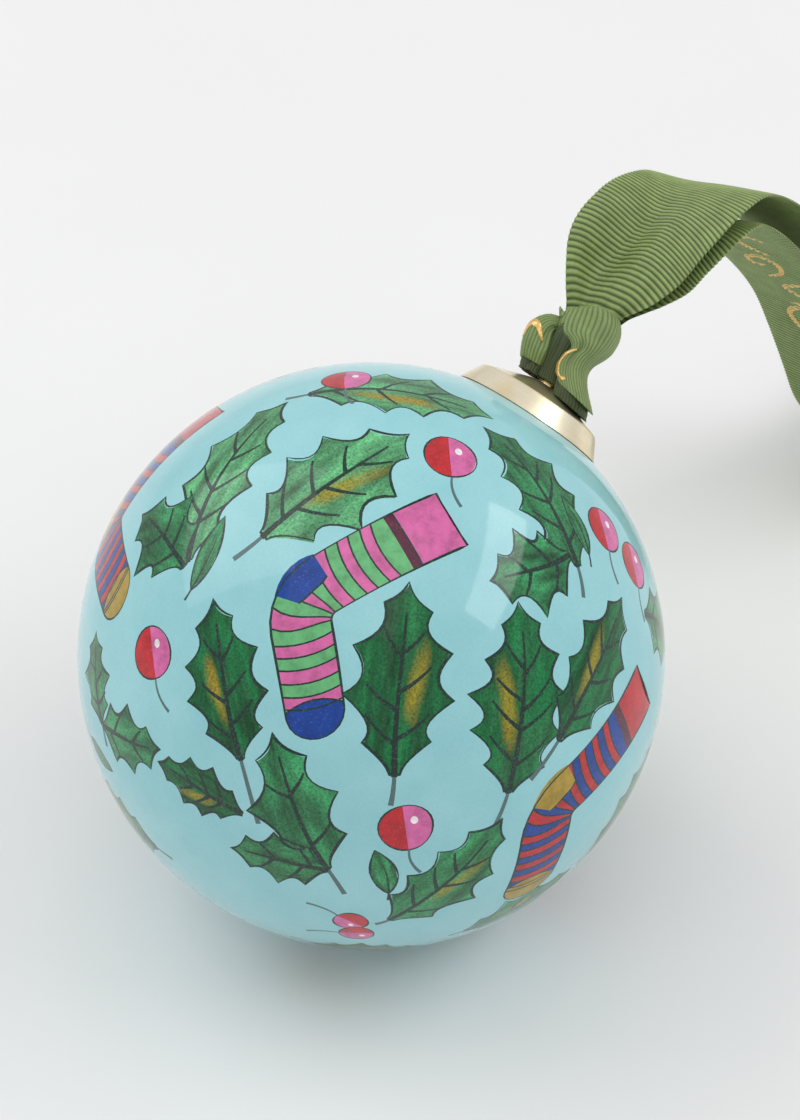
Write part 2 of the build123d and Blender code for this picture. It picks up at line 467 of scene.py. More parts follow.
def berry(spot, radius, rng):
    """A round berry, one half red and one half pink, with a white dot and a stem."""
    turns = np.linspace(0, TURN, 26, endpoint=False)
    wobble = 1 + 0.02 * np.sin(3 * turns + rng.uniform(0, TURN))
    circle = np.stack([np.cos(turns), np.sin(turns)], 1) * radius * wobble[:, None]
    red = circle[:14]
    oval = np.stack([0.17 * np.cos(turns[::2]), 0.14 * np.sin(turns[::2])], 1)
    dot = ((0.30, -0.34) + oval) * radius
    stem = BERRY_STEM_MM
    bow = (-radius - 0.5 * stem, 0.1 * stem)
    curve = bezier((-radius, 0), bow, (-radius - stem, -0.3 * stem), 9)
    return [
        Layer(spot, shifted(circle, rng, 0.12), PIGMENT, PINK),
        Layer(spot, shifted(red, rng, 0.10), PIGMENT, RED),
        Layer(spot, dot, PIGMENT, DOT_WHITE),
        pen_outline(spot, circle, 0.11, rng),
        pen_line(spot, curve, 0.14, 0.24, INK_STEM),
    ]


class SockLine:
    """The middle line of a sock: a straight leg, a bend at the heel, and a foot."""

    LEG_MM = 19.0
    BEND_RADIUS_MM = 5.2
    BEND = math.radians(72)
    FOOT_MM = 11.0
    HALF_MM = 4.0
    CUFF_MM = 6.6
    CUFF_RIM_MM = 1.3
    TOE_MM = 3.6
    TOE_SEAM_MM = 0.6  # how far before the toe its seam starts
    BEND_MM = BEND_RADIUS_MM * BEND
    WHOLE_MM = LEG_MM + BEND_MM + FOOT_MM

    def at(self, along, across):
        """A point along the sock, and across it from -1 on the right to 1 on the left."""
        side = across * self.HALF_MM
        turn = min(max((along - self.LEG_MM) / self.BEND_RADIUS_MM, 0), self.BEND)
        before = min(along, self.LEG_MM)
        after = max(along - self.LEG_MM - self.BEND_MM, 0)
        radius = self.BEND_RADIUS_MM - side
        x = before + radius * math.sin(turn) + after * math.cos(turn)
        y = self.BEND_RADIUS_MM - radius * math.cos(turn) + after * math.sin(turn)
        return (x, y)


def sock(spot, rng, colours, cuff, end, stripe):
    """A striped sock: colours are the two stripes', cuff is its block, end the heel and toe."""
    line = SockLine()
    across = np.linspace(-1, 1, 7)
    whole, cuff_end = line.WHOLE_MM, line.CUFF_MM
    rim_end = cuff_end + line.CUFF_RIM_MM

    def rung(along, bow=0.5):
        return [line.at(along + bow * (1 - a * a), a) for a in across]

    def band(start, stop, colour, bow=0.5):
        shape = np.array(rung(start, bow) + rung(stop, bow)[::-1])
        return Layer(spot, shape * (1 + rng.uniform(-0.004, 0.004)), PIGMENT, colour)

    steps = np.linspace(0, whole, 34)
    right = [line.at(along, -1) for along in steps]
    left = [line.at(along, 1) for along in steps]
    turns = np.linspace(-1.45, 1.45, 11)
    toe = [line.at(whole + line.TOE_MM * math.cos(turn), math.sin(turn)) for turn in turns]
    outline = np.array(right + toe + left[::-1])
    layers = [Layer(spot, shifted(outline, rng, 0.1), PIGMENT, colours[0])]
    layers.append(band(0, cuff_end, cuff, 0))
    layers.append(band(cuff_end, rim_end, MAROON, 0))

    along = rim_end
    edges = []
    while along < whole - stripe:
        start = along + stripe * rng.uniform(0.95, 1.1)
        along = start + stripe * rng.uniform(0.85, 1.05)
        stop = min(along, whole)
        layers.append(band(start, stop, colours[1], 0.7))
        edges += [start, stop]

    toe_seam = rung(whole - line.TOE_SEAM_MM, -1.0)
    layers.append(Layer(spot, np.array(toe_seam + toe[::-1]), PIGMENT, end))
    heel_start, heel_stop = line.LEG_MM - 1.2, line.LEG_MM + 0.52 * line.BEND_MM
    heel, inner = [], []
    for u in np.linspace(0, 1, 7):
        down = heel_start + u * (heel_stop - heel_start)
        heel.append(line.at(down, -1.05 - 0.12 * math.sin(math.pi * u)))
        up = heel_stop + u * (heel_start - heel_stop)
        inner.append(line.at(up, -0.02 - 0.16 * abs(2 * u - 1) ** 3))
    for edge in edges:
        layers.append(pen_line(spot, rung(edge, 0.7), 0.13, 0.11))
    layers.append(Layer(spot, np.array(heel + inner), PIGMENT, end))
    layers.append(pen_line(spot, inner, 0.13, 0.13))
    layers.append(pen_line(spot, toe_seam, 0.13, 0.13))
    layers.append(pen_line(spot, rung(cuff_end, 0), 0.12, 0.12))
    layers.append(pen_outline(spot, outline, 0.14, rng))
    return layers


# Where the motifs are: latitude, longitude and heading in degrees, then their sizes in
# millimetres. Two rounds of them, half a turn apart, cover the ball.
#
# A holly leaf: its length and width, how many spines each edge has, how many degrees it
# bends, how far the hollows between its spines reach out, its tone, the side of its ochre
# wash (-1, 1 or none) and its stem's length.
LEAVES = [
    (36, -53, 53, 24.5, 12.5, 4, -14, 0.46, LIGHT_LEAF, -1, 3),
    (6, -30, 80, 24.0, 15.0, 4, 10, 0.46, LIGHT_LEAF, -1, 4.5),
    (-5, -41, 108, 27.0, 12.5, 4, -16, 0.38, LIGHT_LEAF, 0, 0),
    (-6, -41, 170, 14.5, 12.5, 3, 20, 0.38, MIDDLE_LEAF, 0, 0),
    (36, 29, 134, 22.5, 12.0, 4, 14, 0.38, MIDDLE_LEAF, 0, 4),
    (37.5, 26, -135, 13.5, 12.0, 3, -16, 0.38, MIDDLE_LEAF, 0, 0),
    (-31, -11, 134, 20.5, 11.5, 4, 6, 0.46, DARK_LEAF, 1, 9),
    (-17, 16, 121, 24.5, 13.6, 4, -8, 0.46, DARK_LEAF, -1, 4),
    (-8, 37, 121, 24.5, 14.7, 5, 8, 0.46, DARK_LEAF, 1, 6),
    (5, 40, 82, 22.0, 11.0, 4, -12, 0.46, DARK_LEAF, 1, 6),
    (-41, -5, -168, 13.5, 8.0, 4, 12, 0.46, DARK_LEAF, 1, 0),
    (-41, 20, 151, 20.5, 12.5, 3, -8, 0.38, MIDDLE_LEAF, 0, 5),
    (-41, 20, -142, 13.0, 9.5, 3, 14, 0.38, MIDDLE_LEAF, 0, 0),
    (-44, 46, 101, 22.0, 12.0, 4, 8, 0.46, MIDDLE_LEAF, -1, 2),
    (-43, -57, 107, 12.0, 9.0, 3, 0, 0.38, MIDDLE_LEAF, 0, 3),
    (-43, -57, 2, 13.5, 10.0, 3, 12, 0.38, MIDDLE_LEAF, 0, 0),
    (37, 57, 4, 16.0, 11.0, 3, -12, 0.46, MIDDLE_LEAF, 0, 0),
    (-9, 78, 84, 18.0, 11.0, 4, 8, 0.46, MIDDLE_LEAF, 0, 2),
    (-37, 72, 80, 16.5, 11.0, 4, -8, 0.46, MIDDLE_LEAF, 1, 2),
    (28, -86, 88, 18.0, 11.0, 4, 8, 0.46, MIDDLE_LEAF, 0, 2),
    (-66, 62, 60, 15.0, 10.0, 4, 8, 0.46, DARK_LEAF, 1, 3),
    (-68, -40, 175, 17.0, 11.0, 4, -8, 0.46, MIDDLE_LEAF, -1, 3),
]
# A small leaf: its length and width.
SMALL_LEAVES = [
    (-9, -37, 100, 10.5, 4.0),
    (40, 32, 128, 9.0, 3.4),
    (-38, 36, 150, 8.5, 4.6),
    (-48, -72, -30, 8.0, 3.6),
]
# A berry: its radius.
BERRIES = [
    (45, -54, 148, 3.3),
    (41, -11, 125, 3.5),
    (-23, -40, 125, 3.4),
    (-24, 25, 138, 3.5),
    (49, 38, 105, 3.2),
    (46, 53, 100, 3.2),
    (-50, 40.5, 10, 2.3),
    (-52.5, 49, 60, 2.3),
]
SOCKS = [
    (29, -2, -119, "green and pink"),
    (24, -75, -94, "blue and red"),
    (24, 61, -114, "blue and red"),
]
# The colours of the two stripes, of the cuff and of the heel and toe, and a stripe's width.
SOCK_COLOURS = {
    "green and pink": ((STRIPE_GREEN, PINK), PINK, BLUE, 1.75),
    "blue and red": ((BLUE, RED), RED, OCHRE, 1.35),
}


def all_layers():
    """Every painted shape, the lowest first."""
    layers = []
    for half_turn in (0, 180):
        rng = random.Random(11 + half_turn)
        for motif, rows in ((holly, LEAVES), (small_leaf, SMALL_LEAVES), (berry, BERRIES)):
            for latitude, longitude, heading, *sizes in rows:
                layers += motif(Spot(latitude, longitude + half_turn, heading), *sizes, rng)
        for latitude, longitude, heading, name in SOCKS:
            spot = Spot(latitude, longitude + half_turn, heading)
            layers += sock(spot, rng, *SOCK_COLOURS[name])
    return layers


# ---------------------------------------------------------------- the painted ball

GRID_MM = 1.5
POINT_AREA = 0.87 * GRID_MM**2  # what each point of a triangular grid takes up
NECK_POINTS = 96
NECK_MARGIN = 1.2  # degrees without points of the grid, below the neck
INSIDE_RINGS = 40
WALL_MM = 1.8  # the glass's, as in the CAD


def ball_grid(neck_latitude):
    """Evenly spread directions below the neck, and the ring of points round the neck."""
    count = int(4 * math.pi * BALL_MM**2 / POINT_AREA)
    k = np.arange(count)
    up = 1 - (2 * k + 1) / count
    level = np.sqrt(1 - up**2)
    turn = k * math.pi * (3 - math.sqrt(5))
    spread = np.stack([level * np.cos(turn), level * np.sin(turn), up], 1)
    spread = spread[up < math.sin(math.radians(neck_latitude - NECK_MARGIN))]
    ring = np.array([unit(neck_latitude, 360.0 * n / NECK_POINTS) for n in range(NECK_POINTS)])
    return np.vstack([ring, spread])


def top_layer(inside, owners):
    """The uppermost layer that covers a triangle, from the outlines that it lies in."""
    holes = {owners[i][0] for i in inside if owners[i][1]}
    covering = [owners[i][0] for i in inside if not owners[i][1] and owners[i][0] not in holes]
    return max(covering, default=-1)


def neck_and_inside(ring, neck_radius, neck_top):
    """Rings of points up the neck, down its bore and round the inside of the glass."""
    inner = BALL_MM - WALL_MM
    bore = neck_radius - WALL_MM
    start = math.acos(bore / inner)
    heights = [(neck_radius, neck_top), (bore, neck_top), (bore, inner * math.sin(start))]
    for n in range(1, INSIDE_RINGS):
        angle = start - (start + math.pi / 2) * n / INSIDE_RINGS
        heights.append((inner * math.cos(angle), inner * math.sin(angle)))
    level = ring[:, :2] / np.linalg.norm(ring[:, :2], axis=1, keepdims=True)
    rings = [np.hstack([level * r, np.full((len(ring), 1), h)]) for r, h in heights]
    return rings + [np.array([[0.0, 0.0, -inner]])]


def cut_ball(layers, neck_latitude):
    """The ball cut along each outline: directions, triangles, their layers, the neck's ring."""
    flat, faces, owners = [flattened(ball_grid(neck_latitude))], [], []
    total = len(flat[0])
    for number, layer in enumerate(layers):
        for outline, is_hole in ((layer.outline, False), (layer.hole, True)):
            if outline is not None:
                flat.append(flat_outline(outline))
                faces.append(list(range(total, total + len(outline))))
                owners.append((number, is_hole))
                total += len(outline)
    flat = [Vector(point) for point in np.vstack(flat)]
    points, _, triangles, origins, _, insides = delaunay_2d_cdt(flat, [], faces, 0, 1e-5)
    points = raised(np.array([tuple(point) for point in points]))
    triangles = [tuple(triangle)[::-1] for triangle in triangles]
    shown = [top_layer(inside, owners) for inside in insides]
    at_neck = {origin: index for index, group in enumerate(origins) for origin in group}
    return points, triangles, shown, [at_neck[n] for n in range(NECK_POINTS)]


def painted_ball():
    """One closed glass ball whose outside is divided along the edges of the painting."""
    layers = all_layers()
    neck_radius, neck_top = neck_size()
    neck_latitude = math.degrees(math.acos(neck_radius / BALL_MM))
    points, triangles, shown, below = cut_ball(layers, neck_latitude)
    rings = neck_and_inside(points[below], neck_radius, neck_top)
    local = np.vstack([points * BALL_MM] + rings)
    start = len(points)
    for _ in rings[:-1]:
        above = list(range(start, start + NECK_POINTS))
        for n in range(NECK_POINTS):
            m = (n + 1) % NECK_POINTS
            triangles.append((below[n], below[m], above[m], above[n]))
        below = above
        start += NECK_POINTS
    triangles += [(below[n], below[(n + 1) % NECK_POINTS], start) for n in range(NECK_POINTS)]
    shown += [-1] * (len(triangles) - len(shown))

    axes = np.array([CAP_OUT, CAP_RIGHT, CAP_UP])
    world = np.array(BALL_CENTRE) + local @ axes * MM
    ball = mesh_object("painted_glass_ball", world, triangles)
    paint_faces(ball, layers, shown, local)
    smooth_ball(ball, len(points), local, axes)
    for name in ("ground", "leaf", "pigment", "ink"):
        ball.data.materials.append(painted_material(name))
    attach(ball, "ball")
    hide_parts("glass_ball")


def neck_size():
    """The neck's radius and the height of its top above the ball's centre, from the CAD."""
    node = frame["nodes"]["glass_ball"]
    points = np.array([v.co for v in node.data.vertices]) - np.array(BALL_CENTRE)
    height = points @ np.array(CAP_UP) / MM
    away = np.linalg.norm(points / MM - np.outer(height, np.array(CAP_UP)), axis=1)
    top = height.max()
    return float(away[height > top - 0.01].max()), float(top)


def paint_faces(ball, layers, shown, local):
    """Gives each face its paint, its colour and its place within its motif."""
    mesh = ball.data
    paints = [layers[number].paint if number >= 0 else GROUND for number in shown]
    mesh.polygons.foreach_set("material_index", paints)
    tint = np.ones((len(mesh.loops), 4), np.float32)
    place = np.zeros((len(mesh.loops), 3), np.float32)
    corners = np.empty(len(mesh.loops), int)
    mesh.loops.foreach_get("vertex_index", corners)
    rows = {}
    for polygon, layer in zip(mesh.polygons, shown):
        if layer >= 0:
            rows.setdefault(layer, []).extend(polygon.loop_indices)
    for number, loops in rows.items():
        layer = layers[number]
        tint[loops, :3] = layer.colour
        if layer.wash:
            length, half, ochre, seed = layer.wash
            drawn = layer.spot.drawn(local[corners[loops]] / BALL_MM)
            side = ochre if ochre else 1
            place[loops, 0] = drawn[:, 0] / length
            place[loops, 1] = drawn[:, 1] / half * side
            place[loops, 2] = seed
            tint[loops, 3] = abs(ochre)
    paint = mesh.attributes.new("paint", "FLOAT_COLOR", "CORNER")
    paint.data.foreach_set("color", tint.ravel())
    wash = mesh.attributes.new("wash", "FLOAT_VECTOR", "CORNER")
    wash.data.foreach_set("vector", place.ravel())


def smooth_ball(ball, outside, local, axes):
    """Normals along each point's own radius: outwards, but inwards on the glass's inside."""
    normals = local / np.linalg.norm(local, axis=1, keepdims=True)
    normals[outside + 2 * NECK_POINTS :] *= -1
    normals = normals @ axes
    ball.data.normals_split_custom_set_from_vertices([tuple(n) for n in normals])


def painted_material(kind):
    """Paint seen through clear glass: a gloss coat over one of the four kinds of paint."""
    material, nodes, shader = principled("glass_over_" + kind, roughness=0.55, specular=0.05)
    shader.inputs["Coat Weight"].default_value = 1.0
    shader.inputs["Coat Roughness"].default_value = 0.07
    shader.inputs["Coat IOR"].default_value = 1.4
    place = nodes.place_mm()
    cloud = nodes.noise(place, scale=0.09, detail=3, roughness=0.6)
    grain = nodes.noise(place, scale=3.2, detail=3, roughness=0.7)
    if kind == "ground":
        colour = nodes.ramp(cloud, [(0.32, (0.280, 0.605, 0.650)), (0.68, (0.340, 0.665, 0.705))])
        speckle = nodes.ramp(grain, [(0.30, 0.93), (0.60, 1.0)])
        colour = nodes.shaded(colour, speckle)
    elif kind == "leaf":
        colour = leaf_colour(nodes, grain)
    elif kind == "pigment":
        patch = nodes.noise(place, scale=0.55, detail=3, roughness=0.65)
        shade = nodes.ramp(patch, [(0.30, 0.72), (0.52, 1.0), (0.75, 1.18)])
        colour = nodes.shaded(nodes.attribute("paint", "Color"), shade)
        speckle = nodes.ramp(grain, [(0.58, 0.0), (0.76, 0.12)])
        colour = nodes.mix(speckle, colour, (0.80, 0.80, 0.82))
    else:
        worn = nodes.ramp(grain, [(0.52, 0.0), (0.72, 0.30)])
        colour = nodes.mix(worn, nodes.attribute("paint", "Color"), (0.20, 0.33, 0.33))
    nodes.link(colour, shader, "Base Color")
    return material


def leaf_colour(nodes, grain):
    """A green watercolour wash, streaked along the leaf, with a patch of ochre."""
    wash = nodes.attribute("wash")
    along, across = nodes.split(wash, "X"), nodes.split(wash, "Y")
    seed = nodes.split(wash, "Z")
    place = nodes.join(nodes.times(along, 2.2), nodes.times(across, 2.4), seed)
    pool = nodes.noise(place, scale=1.0, detail=3, roughness=0.6)
    streaky = nodes.join(nodes.times(along, 3.0), nodes.times(across, 6.0), seed)
    streak = nodes.noise(streaky, scale=1.0, detail=2, roughness=0.6)
    green = nodes.attribute("paint", "Color")
    depth = nodes.ramp(pool, [(0.30, 0.32), (0.48, 0.95), (0.70, 1.9)])
    green = nodes.shaded(green, depth)
    green = nodes.mix(nodes.ramp(streak, [(0.50, 0.0), (0.75, 0.16)]), green, (0.11, 0.36, 0.15))
    slant = nodes.math("MULTIPLY_ADD", along, 0.55, -0.02)
    off_u = nodes.math("DIVIDE", nodes.math("SUBTRACT", along, 0.48), 0.27)
    off_v = nodes.math("DIVIDE", nodes.math("SUBTRACT", across, slant), 0.22)
    squares = [nodes.math("POWER", off, 2.0) for off in (off_u, off_v)]
    away = nodes.math("SQRT", nodes.math("ADD", *squares))
    ragged = nodes.math("ADD", away, nodes.times(nodes.math("SUBTRACT", pool, 0.5), 1.6))
    patch = nodes.ramp(ragged, [(0.30, 1.0), (1.10, 0.0)])
    strength = nodes.attribute("paint", "Alpha")
    ochre = nodes.mix(streak, (0.20, 0.25, 0.015), (0.46, 0.27, 0.02))
    share = nodes.times(nodes.times(patch, strength), 0.85)
    green = nodes.mix(share, green, ochre)
    granules = nodes.ramp(grain, [(0.36, 0.55), (0.50, 1.0), (0.66, 1.35)])
    return nodes.shaded(green, granules)


# ---------------------------------------------------------------- the ribbon's cloth

RIB_MM = 0.80  # from one rib of the grosgrain to the next
RIB_HEIGHT_MM = 0.17
CLOTH_MM = 0.30
RIBBON_HALF_MM = 11
SAMPLES_PER_RIB = 6
THREAD_MM = 0.30
GREEN = (0.200, 0.280, 0.086)
# painted shade: the dark colour painted into the grooves between the loop's ribs
GREEN_GROOVE_SHADE = (0.060, 0.095, 0.022)
GOLD_INK = (0.86, 0.56, 0.20)


def smooth_through(places, values, at):
    """Cubic curves through values that are given at places, read off at other places."""
    values = np.asarray(values, float)
    slopes = np.gradient(values, places, axis=0)
    k = np.clip(np.searchsorted(places, at, side="right") - 1, 0, len(places) - 2)
    span = (places[k + 1] - places[k])[:, None]
    t = (at - places[k])[:, None] / span
    low, high = values[k], values[k + 1]
    low_slope, high_slope = slopes[k] * span, slopes[k + 1] * span
    first = low * (1 + 2 * t) * (1 - t) ** 2 + high * t**2 * (3 - 2 * t)
    return first + low_slope * t * (1 - t) ** 2 + high_slope * t**2 * (t - 1)


def along_line(points):
    """How far along a line each of its points is."""
    steps = np.linalg.norm(np.diff(points, axis=0), axis=1)
    return np.concatenate([[0.0], np.cumsum(steps)])


def normalised(vectors):
    return vectors / np.maximum(np.linalg.norm(vectors, axis=-1, keepdims=True), 1e-12)


def rib_height(along):
    """Rounded ribs with rounded grooves between them, from 0 to 1."""
    return np.sin(np.pi * along / RIB_MM) ** 2


def hold(piece, bend=None):
    """The piece follows the ribbon's body, or, where a bend is given, stays where it is, on no body."""
    if bend is None:
        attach(piece, "ribbon")
    else:
        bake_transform(piece)


def woven_object(name, points, faces, cloth, material, bend=None):
    """A cloth piece from points in millimetres, with its cloth coordinates on it."""
    made = mesh_object(name, np.asarray(points) * MM, faces)
    attribute = made.data.attributes.new("cloth", "FLOAT_VECTOR", "POINT")
    attribute.data.foreach_set("vector", np.asarray(cloth, np.float32).ravel())
    made.data.materials.append(material)
    hold(made, bend)
    return made


def grosgrain_material(name, groove, crest, shade=1.0):
    """Ribbed green ribbon: deep grooves, fine threads round each rib, and a soft sheen. Its colour has
    painted shade in the grooves between the ribs and a painted highlight on their crests, and shade
    darkens its middle tone as painted shade.
    """
    material, nodes, shader = principled(name, roughness=0.50, specular=0.35)
    shader.inputs["Sheen Weight"].default_value = 0.15
    shader.inputs["Sheen Roughness"].default_value = 0.45
    shader.inputs["Sheen Tint"].default_value = (0.80, 0.90, 0.55, 1.0)
    cloth = nodes.attribute("cloth")
    along, across = nodes.split(cloth, "X"), nodes.split(cloth, "Y")
    rib = nodes.math("SINE", nodes.times(along, math.pi / RIB_MM))
    rib = nodes.math("POWER", nodes.math("ABSOLUTE", rib), 2.0)
    slant = nodes.math("ADD", across, nodes.times(along, 0.35))
    thread = nodes.math("SINE", nodes.times(slant, TURN / THREAD_MM))
    place = nodes.join(along, across)
    worn = nodes.noise(place, scale=0.35, detail=3, roughness=0.6)
    fibre = nodes.noise(place, scale=7.0, detail=2, roughness=0.6)
    middle = tuple(shade * channel for channel in GREEN)
    # painted shade and painted highlight: the grooves between the ribs take the dark groove colour, the
    # crests the pale crest colour
    colour = nodes.ramp(rib, [(0.0, groove), (0.42, middle), (1.0, crest)])
    colour = nodes.shaded(colour, nodes.ramp(worn, [(0.3, 0.86), (0.7, 1.12)]))
    thready = nodes.math("MULTIPLY_ADD", thread, 0.10, 0.94)
    colour = nodes.shaded(colour, thready)
    colour = nodes.shaded(colour, nodes.ramp(fibre, [(0.3, 0.85), (0.7, 1.12)]))
    nodes.link(colour, shader, "Base Color")
    fine = nodes.math("ADD", nodes.times(thread, 0.5), fibre)
    nodes.link(nodes.bump(fine, 0.35, 0.00005), shader, "Normal")
    return material


def gold_print_material():
    """Metallic ink, cracked a little by the ribs below it."""
    material, nodes, shader = principled("gold_print", roughness=0.38, metallic=0.75)
    place = nodes.place_mm()
    flake = nodes.noise(place, scale=2.4, detail=3, roughness=0.7)
    stops = [(0.30, (0.62, 0.38, 0.12)), (0.55, GOLD_INK), (0.80, (0.95, 0.74, 0.40))]
    colour = nodes.ramp(flake, stops)
    nodes.link(colour, shader, "Base Color")
    nodes.link(nodes.ramp(flake, [(0.3, 0.55), (0.7, 0.30)]), shader, "Roughness")
    nodes.link(nodes.bump(flake, 0.3, 0.00004), shader, "Normal")
    return material


# ---------------------------------------------------------------- the ribbon's loop

# The upper strand rises from the knot, bends over, falls and runs out along the table. Its
# middle starts here, heading this many degrees up, and each stretch of it has a length and
# the degrees that it bends down on the way.
STRAND_START = (41.0, 69.5)
STRAND_HEADING = 48
STRAND_STRETCHES = [(3, 0), (25, 48), (11, 35), (50, 25), (21, 0), (22, -60), (10, 0)]
STATION_STEP = 2.0

# Its form at some distances from the knot: how far it stands to the side, how wide it is,
# how many degrees its width is turned and tilted, how far its left edge curls up, how deep
# the hollow beside the curl is, how deep its gathers are, how far its ribs bow away from
# the knot, how far the lower strand lies under it, and how far that one is slipped
# sideways, so that it shows past the upper one's near edge.
STRAND_FORMS = [
    (0, 0.5, 5.5, 34, -15, 0.5, 0.2, 0.8, 0.2, 1.3, 0.2),
    (6, 1.0, 8.0, 32, -12, 1.4, 0.7, 0.7, 0.8, 1.4, 0.8),
    (9, 1.0, 12.0, 25, -14, 2.3, 2.0, 0.4, 1.6, 1.9, 0.9),
    (13, 1.5, 16.0, 17, -12, 2.4, 3.8, 0.2, 2.5, 2.5, 1.2),
    (21, 2.5, 19.0, 0, -5, 1.1, 3.4, 0.0, 2.4, 2.9, 1.0),
    (31, 3.5, 20.5, -3, 9, 0.3, 0.5, 0.0, 0.8, 3.3, 0.6),
    (37, 4.5, 21.0, 0, 15, 0.2, 0.2, 0.0, 0.2, 4.2, 0.0),
    (60, 5.0, 20.5, 0, 13, 0.1, 0.1, 0.0, 0.0, 5.5, -0.7),
    (85, 4.5, 21.0, -2, 8, 0.1, 0.1, 0.0, 0.0, 6.3, -0.3),
    (112, 4.0, 21.5, 7, 3, 0.1, 0.1, 0.0, 0.0, 8.5, 0.0),
    (132, 5.0, 21.5, 12, 0, 0.1, 0.1, 0.0, 0.0, 11.2, 0.0),
    (142, 6.0, 21.5, 11, 0, 0.1, 0.1, 0.0, 0.0, 11.2, 0.0),
]
# Shares of the half width at which the cloth has points, closer together at its edges.
CROSS_SHARES = np.sin(np.linspace(-0.48, 0.48, 19) * math.pi) / math.sin(0.48 * math.pi)
CURL_FROM = 0.58
HOLLOW_AT = -0.28
HOLLOW_WIDTH = 0.36
PROBE_MM = 0.2  # how far each way the cloth's heading is looked for


def strand_route(places):
    """The middle of the upper strand, along X and up, at places STATION_STEP apart."""
    lengths, bends = np.array(STRAND_STRETCHES, dtype=float).T
    marks = np.append(0, np.cumsum(lengths))
    bent = np.interp(places[:-1] + STATION_STEP / 2, marks, np.append(0, np.cumsum(bends)))
    heading = np.radians(STRAND_HEADING - bent)
    steps = np.column_stack([np.cos(heading), np.sin(heading)]) * STATION_STEP
    return STRAND_START + np.cumsum(np.vstack([[0, 0], steps]), axis=0)


def loop_stations():
    """Middles, width vectors and shapes, out along the upper strand and back along the lower."""
    whole = sum(length for length, bend in STRAND_STRETCHES)
    places = np.arange(int(whole / STATION_STEP) + 1) * STATION_STEP
    forms = np.array(STRAND_FORMS, dtype=float)
    forms = smooth_through(forms[:, 0], forms[:, 1:], places).T
    side, wide, turn, tilt, *shapes, gap, slip = forms
    turn, tilt = np.radians(turn), np.radians(tilt)
    shapes = np.array(shapes).T
    route = strand_route(places)
    middles = np.column_stack([route[:, 0], side, route[:, 1]])
    level = np.cos(tilt)
    across = np.column_stack([level * np.sin(turn), -level * np.cos(turn), np.sin(tilt)])
    widths = across * wide[:, None]
    ahead = normalised(np.gradient(middles, axis=0))
    up = normalised(np.cross(widths, ahead))
    under = middles - up * gap[:, None] + across * slip[:, None]
    turning = []
    for angle in np.radians([30, 60, 90, 120, 150]):
        turned = up[-1] * math.cos(angle) + ahead[-1] * math.sin(angle)
        turning.append(middles[-1] + (turned - up[-1]) * gap[-1] / 2)
    count = len(turning)
    middles = np.vstack([middles, turning, under[::-1]])
    widths = np.vstack([widths, [widths[-1]] * count, widths[::-1]])
    shapes = np.vstack([shapes, [shapes[-1]] * count, -shapes[::-1]])
    return middles, widths, shapes


class LoopCloth:
    """The loop as a surface: at(along, across, height) is a point on or over the cloth."""

    def __init__(self):
        middles, widths, shapes = loop_stations()
        self.places = along_line(middles)
        self.length = self.places[-1]
        self.values = np.hstack([middles, widths, shapes])

    def row(self, along):
        """Middle, width, curl, hollow, gather and bow, that far along."""
        return smooth_through(self.places, self.values, np.clip(along, 0, self.length))

    def at(self, along, across, height):
        """Points in millimetres; across runs from -1 to 1 and height is off the middle."""
        bow = self.row(along)[:, 9]
        along = np.clip(along + bow * (1 - across**2), 0, self.length)
        row = self.row(along)
        ahead = normalised((self.row(along + PROBE_MM) - self.row(along - PROBE_MM))[:, :3])
        side = row[:, 3:6] / 2
        wide = normalised(side)
        up = normalised(np.cross(wide, ahead))
        curl, hollow, gather = row[:, 6:7], row[:, 7:8], row[:, 8:9]
        t = across[:, None]
        edge = np.abs(t)
        side_share = np.where(t < 0, 1.0, np.where(curl > 0, 0.25, 0.7))
        lift = curl * side_share * np.clip((edge - CURL_FROM) / (1 - CURL_FROM), 0, 1) ** 1.2
        lift -= hollow * np.exp(-(((t - HOLLOW_AT) / HOLLOW_WIDTH) ** 2))
        lift += gather * np.cos(math.pi * (3.2 * t + 0.25)) * (1 - 0.4 * edge)
        ripple = 0.12 * np.sin(along[:, None] / 5.3 + 2.1 * t) * (1 - edge**2)
        height = np.broadcast_to(height, along.shape)[:, None]
        return row[:, :3] + side * t + up * (lift + ripple + height)


def loop_object(cloth, material):
    """The closed sheet of the loop, ribbed on both faces and scalloped at its edges."""
    count = int(cloth.length / RIB_MM * SAMPLES_PER_RIB)
    along = np.linspace(0, cloth.length, count)
    ribs = rib_height(along)
    ring = [(1, share) for share in CROSS_SHARES] + [(-1, share) for share in CROSS_SHARES[::-1]]
    points, coordinates = [], []
    for face, share in ring:
        thin = 1 - 0.55 * abs(share) ** 12
        height = face * (CLOTH_MM / 2 + ribs * RIB_HEIGHT_MM) * thin
        across = share * (1 + 0.010 * (ribs - 0.5))
        points.append(cloth.at(along, across, height))
        coordinates.append(np.stack([along, across * RIBBON_HALF_MM, np.full(count, face)], 1))
    faces = quads_round(len(ring), count)
    points, coordinates = np.vstack(points), np.vstack(coordinates)
    return woven_object("ribbon_loop_cloth", points, faces, coordinates, material)


def quads_round(rings, count):
    """Faces of a closed tube of points [ring, place along], with its two ends closed."""
    faces = []
    for n in range(rings):
        m = (n + 1) % rings
        for k in range(count - 1):
            faces.append((n * count + k, n * count + k + 1, m * count + k + 1, m * count + k))
    faces.append([n * count for n in range(rings)])
    faces.append([n * count + count - 1 for n in range(rings)][::-1])
    return faces


# ---------------------------------------------------------------- the ribbon's knot

